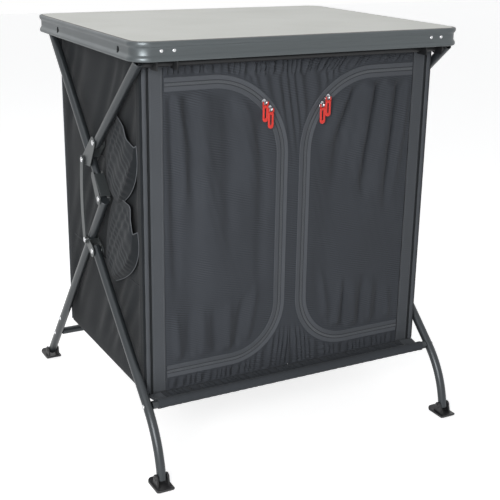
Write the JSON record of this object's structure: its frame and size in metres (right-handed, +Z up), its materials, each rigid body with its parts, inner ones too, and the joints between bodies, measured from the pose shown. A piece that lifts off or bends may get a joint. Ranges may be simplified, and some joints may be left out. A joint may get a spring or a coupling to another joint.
{
  "type": "camp kitchen cupboard",
  "caption": "Folding camp kitchen cupboard: a laminate worktop on a knee-linked tube stand carries a fabric cabinet with zipped doors, shelves and side pockets.",
  "frame": {"origin": "on the floor, in the middle between the two side linkages and midway between the front edge of the front pads and the rear edge of the rear pads", "axes": "+X to the right of somebody who faces the doors, +Y from the doors to the back, +Z up"},
  "size_m": [0.7, 0.7274, 0.82],
  "materials": {
    "laminate": "satin light grey laminate",
    "board": "plain fibreboard",
    "rim_aluminium": "satin grey anodised extrusion",
    "bright_steel": "plated",
    "tube_coating": "satin anthracite coating",
    "plate_coating": "satin anthracite coating",
    "black_plastic": "moulded",
    "door_cloth": "ribbed polyester weave",
    "wall_cloth": "ribbed polyester weave",
    "binding": "woven tape",
    "pocket_cloth": "plain polyester weave",
    "zip_tape": "woven tape with plastic coil",
    "zip_metal": "polished",
    "red_pull": "moulded soft plastic",
    "shelf_board": "cloth covered board"
  },
  "bodies": {
    "worktop": {"worktop_laminate": "laminate", "worktop_core": "board", "edge_rim": "rim_aluminium", "front_bracket_left": "bright_steel", "front_bracket_right": "bright_steel", "rear_rest_left": "black_plastic", "rear_rest_right": "black_plastic", "side_panel_left": "wall_cloth", "side_panel_right": "wall_cloth", "back_panel": "wall_cloth", "front_fascia": "door_cloth", "floor_board": "shelf_board", "shelf_lower": "shelf_board", "shelf_upper": "shelf_board", "front_ledge": "binding", "corner_binding_left": "binding", "corner_binding_right": "binding", "fixed_tape_left": "zip_tape", "fixed_tape_right": "zip_tape", "side_pocket_upper": "pocket_cloth", "side_pocket_lower": "pocket_cloth"},
    "front_upper_legs": {"front_hinge_bar": "tube_coating", "front_upper_tube_left": "tube_coating", "front_upper_tube_right": "tube_coating"},
    "rear_upper_legs": {"rear_upper_bar": "tube_coating", "rear_upper_tube_left": "tube_coating", "rear_upper_tube_right": "tube_coating", "upper_plate_left": "plate_coating", "upper_plate_right": "plate_coating", "knuckle_left": "plate_coating", "knuckle_right": "plate_coating"},
    "rear_lower_legs": {"rear_lower_bar": "tube_coating", "rear_lower_tube_left": "tube_coating", "rear_lower_tube_right": "tube_coating", "lower_plate_left": "plate_coating", "lower_plate_right": "plate_coating"},
    "front_lower_legs": {"front_lower_bar": "tube_coating", "bar_sleeve": "binding", "front_lower_tube_left": "tube_coating", "front_lower_tube_right": "tube_coating"},
    "lock_bar_left": {"lock_bar_left": "plate_coating"},
    "foot_front_left": {"foot_front_left": "black_plastic"},
    "foot_rear_left": {"foot_rear_left": "black_plastic"},
    "door_left": {"door_left": "door_cloth", "door_tape_left": "zip_tape"},
    "zip_slider_left_upper": {"zip_slider_left_upper": "zip_metal"},
    "zip_pull_left_upper": {"zip_pull_left_upper": "red_pull"},
    "zip_slider_left_lower": {"zip_slider_left_lower": "zip_metal"},
    "zip_pull_left_lower": {"zip_pull_left_lower": "red_pull"},
    "lock_bar_right": {"lock_bar_right": "plate_coating"},
    "foot_front_right": {"foot_front_right": "black_plastic"},
    "foot_rear_right": {"foot_rear_right": "black_plastic"},
    "door_right": {"door_right": "door_cloth", "door_tape_right": "zip_tape"},
    "zip_slider_right_upper": {"zip_slider_right_upper": "zip_metal"},
    "zip_pull_right_upper": {"zip_pull_right_upper": "red_pull"},
    "zip_slider_right_lower": {"zip_slider_right_lower": "zip_metal"},
    "zip_pull_right_lower": {"zip_pull_right_lower": "red_pull"}
  },
  "joints": [
    {"name": "frame_fold", "type": "hinge", "parent": "worktop", "child": "front_upper_legs", "pos_m": [0, -0.25569, 0.7785], "axis": [1, 0, 0], "range_deg": [0, 36], "deforming": ["side_panel_left", "side_panel_right", "back_panel", "front_fascia", "floor_board", "shelf_lower", "shelf_upper", "front_ledge", "corner_binding_left", "corner_binding_right", "fixed_tape_left", "fixed_tape_right", "side_pocket_upper", "side_pocket_lower", "door_left", "door_right", "door_tape_left", "door_tape_right"]},
    {"name": "rear_upper_fold", "type": "hinge", "parent": "front_upper_legs", "child": "rear_upper_legs", "pos_m": [0, -0.04467, 0.60207], "axis": [1, 0, 0], "range_deg": [-81.5, 0]},
    {"name": "knee_fold", "type": "hinge", "parent": "rear_upper_legs", "child": "rear_lower_legs", "pos_m": [0, -0.06669, 0.495], "axis": [1, 0, 0], "range_deg": [0, 94.2]},
    {"name": "front_lower_fold", "type": "hinge", "parent": "rear_lower_legs", "child": "front_lower_legs", "pos_m": [0, -0.01974, 0.37393], "axis": [1, 0, 0], "range_deg": [-96.2, 0]},
    {"name": "lock_bar_left_swing", "type": "hinge", "parent": "rear_upper_legs", "child": "lock_bar_left", "pos_m": [-0.332, 0.00938, 0.5579], "axis": [1, 0, 0], "range_deg": [0, 150.4]},
    {"name": "foot_front_left_tilt", "type": "hinge", "parent": "front_lower_legs", "child": "foot_front_left", "pos_m": [-0.332, -0.33669, 0.02], "axis": [1, 0, 0], "range_deg": [-35, 35]},
    {"name": "foot_rear_left_tilt", "type": "hinge", "parent": "rear_lower_legs", "child": "foot_rear_left", "pos_m": [-0.332, 0.32369, 0.02], "axis": [1, 0, 0], "range_deg": [-35, 35]},
    {"name": "door_left_swing", "type": "hinge", "parent": "worktop", "child": "door_left", "pos_m": [-0.2782, -0.23099, 0.14], "axis": [0, 0, -1], "range_deg": [0, 95]},
    {"name": "zip_slider_left_upper_run", "type": "hinge", "parent": "door_left", "child": "zip_slider_left_upper", "pos_m": [-0.1755, -0.23219, 0.587], "axis": [0, -1, 0], "range_deg": [0, 40]},
    {"name": "zip_pull_left_upper_swing", "type": "hinge", "parent": "zip_slider_left_upper", "child": "zip_pull_left_upper", "pos_m": [-0.06925, -0.23949, 0.69288], "axis": [-1, 0, 0], "range_deg": [0, 150]},
    {"name": "zip_slider_left_lower_run", "type": "hinge", "parent": "door_left", "child": "zip_slider_left_lower", "pos_m": [-0.1755, -0.23219, 0.587], "axis": [0, 1, 0], "range_deg": [0, 40]},
    {"name": "zip_pull_left_lower_swing", "type": "hinge", "parent": "zip_slider_left_lower", "child": "zip_pull_left_lower", "pos_m": [-0.05746, -0.23949, 0.67956], "axis": [-1, 0, 0], "range_deg": [0, 150]},
    {"name": "lock_bar_right_swing", "type": "hinge", "parent": "rear_upper_legs", "child": "lock_bar_right", "pos_m": [0.332, 0.00938, 0.5579], "axis": [1, 0, 0], "range_deg": [0, 150.4]},
    {"name": "foot_front_right_tilt", "type": "hinge", "parent": "front_lower_legs", "child": "foot_front_right", "pos_m": [0.332, -0.33669, 0.02], "axis": [1, 0, 0], "range_deg": [-35, 35]},
    {"name": "foot_rear_right_tilt", "type": "hinge", "parent": "rear_lower_legs", "child": "foot_rear_right", "pos_m": [0.332, 0.32369, 0.02], "axis": [1, 0, 0], "range_deg": [-35, 35]},
    {"name": "door_right_swing", "type": "hinge", "parent": "worktop", "child": "door_right", "pos_m": [0.2782, -0.23099, 0.14], "axis": [0, 0, 1], "range_deg": [0, 95]},
    {"name": "zip_slider_right_upper_run", "type": "hinge", "parent": "door_right", "child": "zip_slider_right_upper", "pos_m": [0.1755, -0.23219, 0.587], "axis": [0, 1, 0], "range_deg": [0, 40]},
    {"name": "zip_pull_right_upper_swing", "type": "hinge", "parent": "zip_slider_right_upper", "child": "zip_pull_right_upper", "pos_m": [0.06925, -0.23949, 0.69288], "axis": [-1, 0, 0], "range_deg": [0, 150]},
    {"name": "zip_slider_right_lower_run", "type": "hinge", "parent": "door_right", "child": "zip_slider_right_lower", "pos_m": [0.1755, -0.23219, 0.587], "axis": [0, -1, 0], "range_deg": [0, 40]},
    {"name": "zip_pull_right_lower_swing", "type": "hinge", "parent": "zip_slider_right_lower", "child": "zip_pull_right_lower", "pos_m": [0.05746, -0.23949, 0.67956], "axis": [-1, 0, 0], "range_deg": [0, 150]}
  ],
  "couplings": [
    {"joint": "rear_upper_fold", "follows": "frame_fold", "ratio": -2.236},
    {"joint": "knee_fold", "follows": "frame_fold", "ratio": 2.603},
    {"joint": "front_lower_fold", "follows": "frame_fold", "ratio": -2.644},
    {"joint": "lock_bar_left_swing", "follows": "frame_fold", "ratio": 4.15},
    {"joint": "lock_bar_right_swing", "follows": "frame_fold", "ratio": 4.15}
  ]
}
